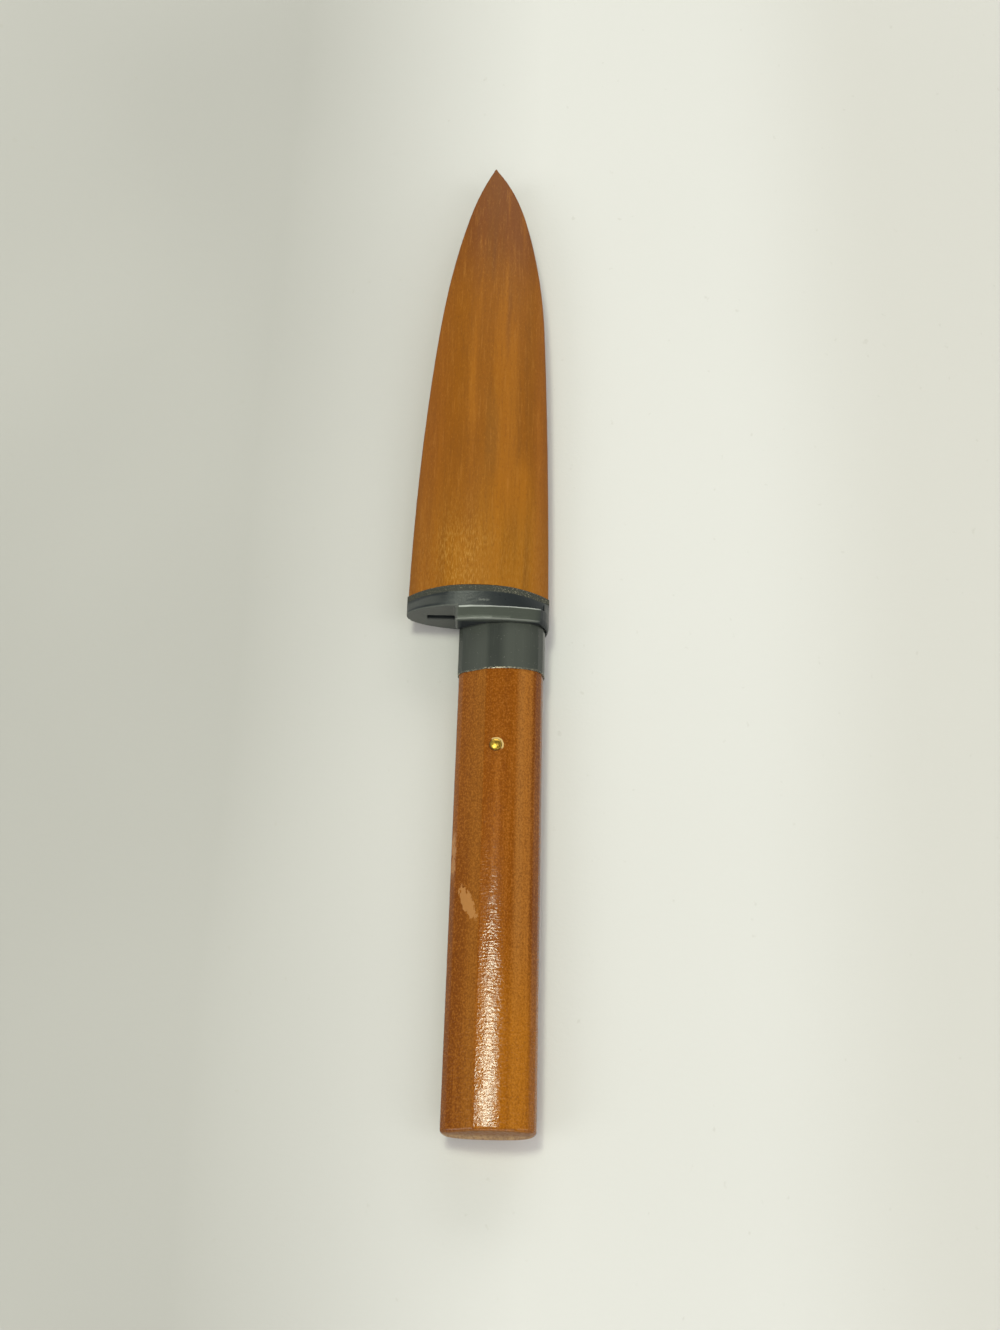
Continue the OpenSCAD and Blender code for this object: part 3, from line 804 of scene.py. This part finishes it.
# The handle: its section is drawn on a circle's points, then drawn out to the butt in steps
handleLook = {
    "width": 19.8 * mm,
    "thickness": 10 * mm,
    "swell": 0.4 * mm,           # what width and thickness gain on the way to the butt
    "sideHeight": 1.4 * mm,      # of the upright flat on each side
    "lowCorner": (0.5 * mm, 1.6 * mm),       # in from the side, and up from its flat
    "middleCorner": (1.6 * mm, 1.5 * mm),    # in from the side, and down from the top
    "highCorner": (3.6 * mm, 0.6 * mm),      # the same
    "flatX": 3.0 * mm,           # where the flat top begins, from the axis
    "creaseX": -3.3 * mm,        # where the crease runs, from the axis
    "creaseDrop": 0.4 * mm,      # how far it lies below the top
    "edgeCorner": (1 * mm, 1.3 * mm),        # like the low corner, on the blade's edge side
    "cornerRound": 0.35 * mm,
    "softRound": 1.3 * mm,       # the top's corners melt into one another
    "roundSegments": 5,
    "shankSteps": 12,
    "buttRound": 0.9 * mm,       # length of the butt's rounding
    "buttSteps": 8,
    "buttSideIn": 1.3 * mm,      # how far the rounding takes in each side
    "buttFaceIn": 0.45 * mm,     # and the top and the underside
    "tenonWidth": 17.6 * mm,     # the tenon fills the ferrule
    "tenonThickness": 7.6 * mm,
    "drillLength": 14 * mm,      # more than the handle's thickness
    "smoothAngle": 13,
    "bruisePlace": (-5.9, -56.5),            # in millimetres from the ferrule's end, on the axis
    "colours": {
        "reddish": tone(127, 70, 12),
        "golden": tone(131, 69, 0),
        "creaseSideSheen": tone(143, 87, 25),
        "edgeSide": tone(114, 58, 0),
        "innerFacetSheen": tone(158, 102, 44),
        "middleFacetSheen": tone(148, 88, 26),
        "outerFacetShade": tone(110, 56, 4),
        "outerFacetShadeAtButt": tone(136, 78, 10),
        "butt": tone(170, 102, 0),
        "streakDark": tone(108, 56, 10),
        "streakPale": tone(178, 110, 36),
        "grainDark": tone(98, 48, 8),
        "grainPale": tone(188, 118, 44),
        "specklePale": tone(190, 124, 50),
        "speckleDark": tone(84, 40, 4),
        "rubbed": tone(200, 150, 100),
        "bruise": tone(174, 120, 62),
        "nick": tone(206, 160, 106),
        "sideFlatShade": tone(84, 42, 12),
        "pinGapShade": tone(70, 40, 12),
        "chipped": tone(216, 184, 112),
        "endDark": tone(136, 98, 54),
        "endPale": tone(178, 142, 94),
        "endShade": tone(112, 68, 26),
        "buttRim": tone(96, 54, 18),
    },
}


# The section's corners, from the spine side over the top and back along the underside
def handleSection():
    half = handleLook["width"] / 2
    top = handleLook["thickness"] / 2
    side = handleLook["sideHeight"] / 2
    flat = handleLook["flatX"]
    lowIn, lowUp = handleLook["lowCorner"]
    middleIn, middleDown = handleLook["middleCorner"]
    highIn, highDown = handleLook["highCorner"]
    edgeIn, edgeUp = handleLook["edgeCorner"]
    fullSide = [
        (half, side), (half - lowIn, side + lowUp),
        (half - middleIn, top - middleDown), (half - highIn, top - highDown),
    ]
    flatTop = [(flat, top), (0, top), (handleLook["creaseX"], top - handleLook["creaseDrop"])]
    edgeSide = [(edgeIn - half, side + edgeUp), (-half, side)]
    underEdge = [(-x, -z) for x, z in fullSide] + [(-flat, -top)]
    underSpine = [(flat, -top)] + [(x, -z) for x, z in reversed(fullSide)]
    return fullSide + flatTop + edgeSide + underEdge + underSpine


# Rounds the section's corners that are among the given places, or all the others
def roundCorners(piece, places, among, size):
    corners = [Vector((axisX + x, shankY, midZ + z)) for x, z in handleSection()]

    def wanted(vertex):
        sharp = any((vertex.co - corner).length < tiny for corner in corners)
        return sharp and among == any((vertex.co - place).length < tiny for place in places)

    selectOnly(piece)
    bpy.ops.object.mode_set(mode="EDIT")
    bpy.ops.mesh.select_mode(type="VERT")
    editOnly(piece, "vertices", wanted)
    bpy.ops.mesh.bevel(
        offset=size, segments=handleLook["roundSegments"], affect="VERTICES", clamp_overlap=True)
    bpy.ops.object.mode_set(mode="OBJECT")


# Extrudes the selected end along the knife and changes its size about a centre
def drawOut(step, widthShare, thicknessShare, centre):
    bpy.ops.mesh.extrude_region_move(TRANSFORM_OT_translate={"value": (0, step, 0)})
    bpy.ops.transform.resize(value=(widthShare, 1, thicknessShare), center_override=centre)


def atShoulder(face):
    return abs(face.center.y - shankY) < tiny and abs(face.normal.y) > straightOn


def buildHandle():
    section = handleSection()
    centre = Vector((axisX, shankY, midZ))
    bpy.ops.object.select_all(action="DESELECT")
    bpy.ops.mesh.primitive_circle_add(vertices=len(section), radius=1 * mm, fill_type="NGON")
    piece = bpy.context.object
    piece.name = "handleShank"
    for vertex, (x, z) in zip(piece.data.vertices, section):
        vertex.co = centre + Vector((x, 0, z))
    softCorners = [centre + Vector((x, 0, z)) for x, z in section[3:6]]
    roundCorners(piece, softCorners, True, handleLook["softRound"])
    roundCorners(piece, softCorners, False, handleLook["cornerRound"])
    bpy.ops.object.mode_set(mode="EDIT")
    bpy.ops.mesh.select_all(action="SELECT")
    # the shank, swelling slightly all the way down
    width, thickness = handleLook["width"], handleLook["thickness"]
    steps = handleLook["shankSteps"]
    run = (buttY + handleLook["buttRound"] - shankY) / steps
    grown = handleLook["swell"] / steps
    for i in range(steps):
        centre.y += run
        drawOut(run, (width + grown) / width, (thickness + grown) / thickness, centre)
        width += grown
        thickness += grown
    # the rounded rim of the butt
    for i in range(handleLook["buttSteps"]):
        first = math.pi / 2 * i / handleLook["buttSteps"]
        last = math.pi / 2 * (i + 1) / handleLook["buttSteps"]
        back = handleLook["buttRound"] * (math.sin(last) - math.sin(first))
        inset = 2 * (math.cos(first) - math.cos(last))
        centre.y -= back
        narrower = width - inset * handleLook["buttSideIn"]
        thinner = thickness - inset * handleLook["buttFaceIn"]
        drawOut(-back, narrower / width, thinner / thickness, centre)
        width, thickness = narrower, thinner
    # the shank's other end: its shoulder is drawn inwards, then the tenon out of it
    editOnly(piece, "polygons", atShoulder)
    centre.y = shankY
    widthShare = handleLook["tenonWidth"] / handleLook["width"]
    drawOut(0, widthShare, handleLook["tenonThickness"] / handleLook["thickness"], centre)
    drawOut(handleHigh.y - shankY, 1, 1, centre)
    bpy.ops.mesh.select_all(action="SELECT")
    bpy.ops.mesh.normals_make_consistent(inside=False)
    bpy.ops.object.mode_set(mode="OBJECT")
    return piece


handle = buildHandle()
tangSlot = steelCutter(
    "tangCutter", bladeLow.y - hollowLook["overrun"], handleHigh.y + hollowLook["overrun"],
    bladeLow.y + hollowLook["tangInset"], hollowLook["tangPlay"], bladeThickness / 2 + hollowLook["tangPlay"])
pinHole = pinRod("pinHoleCutter", handleLook["drillLength"])
for cutter in (tangSlot, pinHole):
    cutWith(handle, cutter)
    bpy.data.objects.remove(cutter)
smoothByAngle(handle, handleLook["smoothAngle"])


def handleMaterial():
    look = Look("varnishedWood", (axisX, shankY, midZ))
    colours = handleLook["colours"]
    x, y, z = look.x, look.y, look.z
    pinAcross = (pinX - axisX) / mm
    pinAlong = (pinY - shankY) / mm
    endY = (buttY - shankY) / mm
    drift = look.noise((10, 70, 10), shift=(5, 21, 3)) - 0.5
    grainPlace = look.joined(x + 1.2 * drift, y, z)
    broad = look.noise((2.2, 70, 4), detail=3, roughness=0.55, place=grainPlace)
    grain = look.noise((0.3, 5, 0.6), detail=4, roughness=0.68, place=grainPlace)
    speckle = look.noise((0.34, 0.5, 0.34), roughness=0.65, shift=(3, 8, 1), place=grainPlace)
    # the facets, from the blade's edge side across to its spine side; the reddish edge side against the
    # golden top is partly the wood's own colour and partly painted sheen
    base = look.mix(x.between(-3.6, -3.0), colours["reddish"], colours["golden"])
    # painted sheen on the edge side, paler towards the crease
    base = look.mix(x.slope(-8, -4.8) * x.between(-3.2, -3.6) * 0.7, base, colours["creaseSideSheen"])
    base = look.mix(x.between(-4.5, -7.5) * y.between(-30, -54) * 0.75, base, colours["edgeSide"])
    # painted sheen on the strips beside the flat top, and painted shade on the spine side's outer facet, less
    # dark towards the butt
    base = look.mix(x.between(3.4, 5.0) * 0.75, base, colours["innerFacetSheen"])
    base = look.mix(x.between(5.2, 6.6) * 0.6, base, colours["middleFacetSheen"])
    butt = y.between(-58, -88)
    outerFacetShade = look.mix(butt, colours["outerFacetShade"], colours["outerFacetShadeAtButt"])
    base = look.mix(x.between(7.2, 8.0), base, outerFacetShade)
    # painted light on the top, lighter towards the butt
    base = look.mix(butt * x.band(-3, 8, 1.0) * 0.6, base, colours["butt"])
    # streaks, grain and speckle
    base = look.mix(broad.between(0.5, 0.72) * 0.3, base, colours["streakDark"])
    base = look.mix(broad.between(0.46, 0.28) * 0.22, base, colours["streakPale"])
    base = look.mix(grain.between(0.5, 0.72) * 0.3, base, colours["grainDark"])
    base = look.mix(grain.between(0.46, 0.28) * 0.2, base, colours["grainPale"])
    base = look.mix(speckle.between(0.46, 0.72) * 0.32, base, colours["specklePale"])
    base = look.mix(speckle.between(0.54, 0.3) * 0.36, base, colours["speckleDark"])
    # wear: a bruise through the varnish, a rubbed edge and a few nicks
    ragged = look.noise((1.1, 2.2, 1.1), detail=5, roughness=0.75, shift=(8, 4, 2)) - 0.5
    bruiseX, bruiseY = handleLook["bruisePlace"]
    alongBruise = y - bruiseY
    acrossBruise = 0.75 * (x - bruiseX + 0.35 * alongBruise)
    fromBruise = (acrossBruise ** 2 + (0.25 * alongBruise) ** 2) ** 0.5
    bruise = (fromBruise + 2.6 * ragged).between(1.05, 0.85)
    rubbedLength = (y + 6 * ragged).band(-50, -40, 1.5)
    rubbed = (x + 3 * ragged).band(-9.9, -9.1, 0.25) * rubbedLength * z.between(0, 0.8)
    nicks = look.noise((1.6, 0.22, 1.6), roughness=0.6, shift=(4, 4, 8)).between(0.6, 0.68)
    nicks = nicks * x.band(-3.2, -1.6, 0.4) * y.band(-58, -44, 3)
    base = look.mix(rubbed * 0.42, base, colours["rubbed"])
    base = look.mix(bruise * 0.8, base, colours["bruise"])
    base = look.mix(nicks * 0.5, base, colours["nick"])
    # painted shade on the upright flat of each side
    base = look.mix(z.band(-0.5, 0.5, 0.4) * 0.45, base, colours["sideFlatShade"])
    # painted shade in the gap round the pin, and lacquer broken round it
    fromPinX = x - pinAcross
    fromPinY = y - pinAlong
    away = (fromPinX ** 2 + fromPinY ** 2) ** 0.5
    corner = fromPinX + fromPinY + 1.4 * ragged
    chipped = (away + 0.5 * ragged).band(1.4, 1.85, 0.07) * corner.between(0.1, 0.9)
    base = look.mix(away.between(1.62, 1.42) * 0.7, base, colours["pinGapShade"])
    base = look.mix(chipped * 0.85, base, colours["chipped"])
    # end grain shows on the butt, under a thinner coat
    endGrain = y.between(endY + 0.35, endY + 0.05)
    rings = look.noise((0.5, 0.5, 3.0), detail=3, roughness=0.6, shift=(7, 1, 3))
    endColour = look.mix(rings.between(0.35, 0.65), colours["endDark"], colours["endPale"])
    endShade = (z + 3 * (rings - 0.5)).between(-1.4, 1.8)
    endColour = look.mix(endShade * 0.85, endColour, colours["endShade"])
    base = look.mix(endGrain * 0.9, base, endColour)
    # painted shade along the butt's rounded rim
    base = look.mix(y.band(endY + 0.3, endY + 0.6, 0.15) * 0.35, base, colours["buttRim"])
    # brushed-on varnish: ripples across the grain and pits that break up its shine
    pits = look.noise((1.6, 0.42, 1.6), detail=1, roughness=0.4, shift=(2, 5, 9))
    pebbles = look.noise((0.5, 0.55, 0.5), detail=1, roughness=0.4, shift=(7, 3, 4))
    wave = look.noise((2.8, 4.5, 2.8), detail=1, shift=(6, 2, 8))
    sparkle = look.noise((1.1, 0.4, 1.1), roughness=0.6, shift=(5, 1, 6)).between(0.48, 0.6)
    dull = bruise.most(chipped).most(endGrain)
    buttHalf = y.between(-46, -72)
    ripple = look.bump(pebbles * (0.4 + 0.6 * buttHalf), 0.031)
    ripple = look.bump(pits * (0.5 + 0.5 * buttHalf), 0.026, ripple)
    return look.finish({
        "Base Color": base,
        "Roughness": 0.1 + 0.05 * pits + 0.15 * sparkle * y.between(-62, -86) + 0.35 * dull,
        "Specular IOR Level": 0.3,
        "Normal": look.bump(wave, 0.06, ripple),
    })


fitOut(handle, "knife", "handle", handleMaterial())
print("handle finished")

# The brass pin: a rod whose two ends are domed step by step
pinLook = {
    "dome": 0.35 * mm,           # height of each domed end
    "steps": 6,
    "crownFlat": 0.6,            # of a step, left flat in the middle of a dome
    "smoothAngle": 50,
    "colours": {
        "brass": tone(206, 166, 70),
        "tarnish": tone(128, 106, 40),
        "rim": tone(74, 54, 18),
    },
}


def buildPin():
    straight = (pinHigh.z - pinLow.z) - 2 * pinLook["dome"]
    piece = pinRod("brassPin", straight)
    centre = Vector((pinX, pinY, midZ))
    stepAngle = math.pi / 2 / (pinLook["steps"] + pinLook["crownFlat"])
    for end in (1, -1):
        editOnly(piece, "polygons", lambda face: face.normal.z * end > straightOn)
        for i in range(pinLook["steps"]):
            before, after = i * stepAngle, (i + 1) * stepAngle
            rise = pinLook["dome"] * (math.sin(after) - math.sin(before))
            share = math.cos(after) / math.cos(before)
            bpy.ops.mesh.extrude_region_move(TRANSFORM_OT_translate={"value": (0, 0, end * rise)})
            bpy.ops.transform.resize(value=(share, share, 1), center_override=centre)
        bpy.ops.object.mode_set(mode="OBJECT")
    smoothByAngle(piece, pinLook["smoothAngle"])
    return piece


def brassMaterial():
    look = Look("agedBrass", (pinX, pinY, midZ))
    colours = pinLook["colours"]
    tarnish = look.noise((0.7, 0.5, 0.7), detail=4, roughness=0.65)
    fine = look.noise((0.12, 0.12, 0.12), detail=3, roughness=0.6)
    colour = look.mix(tarnish.between(0.4, 0.65), colours["brass"], colours["tarnish"])
    away = (look.x ** 2 + look.y ** 2) ** 0.5
    colour = look.mix(away.between(1.15, 1.4) * 0.8, colour, colours["rim"])
    return look.finish({
        "Base Color": colour,
        "Metallic": 1,
        "Roughness": 0.18 + 0.25 * tarnish,
        "Normal": look.bump(fine, 0.01),
    })


pin = buildPin()
fitOut(pin, "knife", "brass_pin", brassMaterial())
print("pin finished")

# The blade, hidden until the knife is drawn
bladeLook = {
    "smoothAngle": 2.4,          # less than the bevel's own angle, so that it keeps its line
    "colours": {
        "steel": tone(186, 188, 190),
        "steelPale": tone(204, 205, 206),
        "grindLine": tone(150, 152, 155),
    },
}
blade = mergedCopy("blade", "bladeSteel")
smoothByAngle(blade, bladeLook["smoothAngle"])


def steelMaterial():
    look = Look("groundSteel", (bladeLow.x, 0, midZ))
    colours = bladeLook["colours"]
    brushed = look.noise((0.09, 30, 0.5), detail=3, roughness=0.6)
    across = look.noise((14, 0.12, 0.5), detail=3, roughness=0.6, shift=(3, 1, 2))
    cloud = look.noise((9, 22, 9), detail=3, shift=(2, 8, 4))
    ground = look.x.between(13.3, 12.7)
    grind = brushed * (1 - ground) + across * ground
    colour = look.mix(cloud, colours["steel"], colours["steelPale"])
    colour = look.mix(grind.between(0.45, 0.7) * 0.25, colour, colours["grindLine"])
    return look.finish({
        "Base Color": colour,
        "Metallic": 1,
        "Roughness": 0.24 + 0.12 * grind + 0.08 * cloud,
        "Normal": look.bump(grind, 0.006),
    })


fitOut(blade, "knife", "blade", steelMaterial())
print("blade finished")
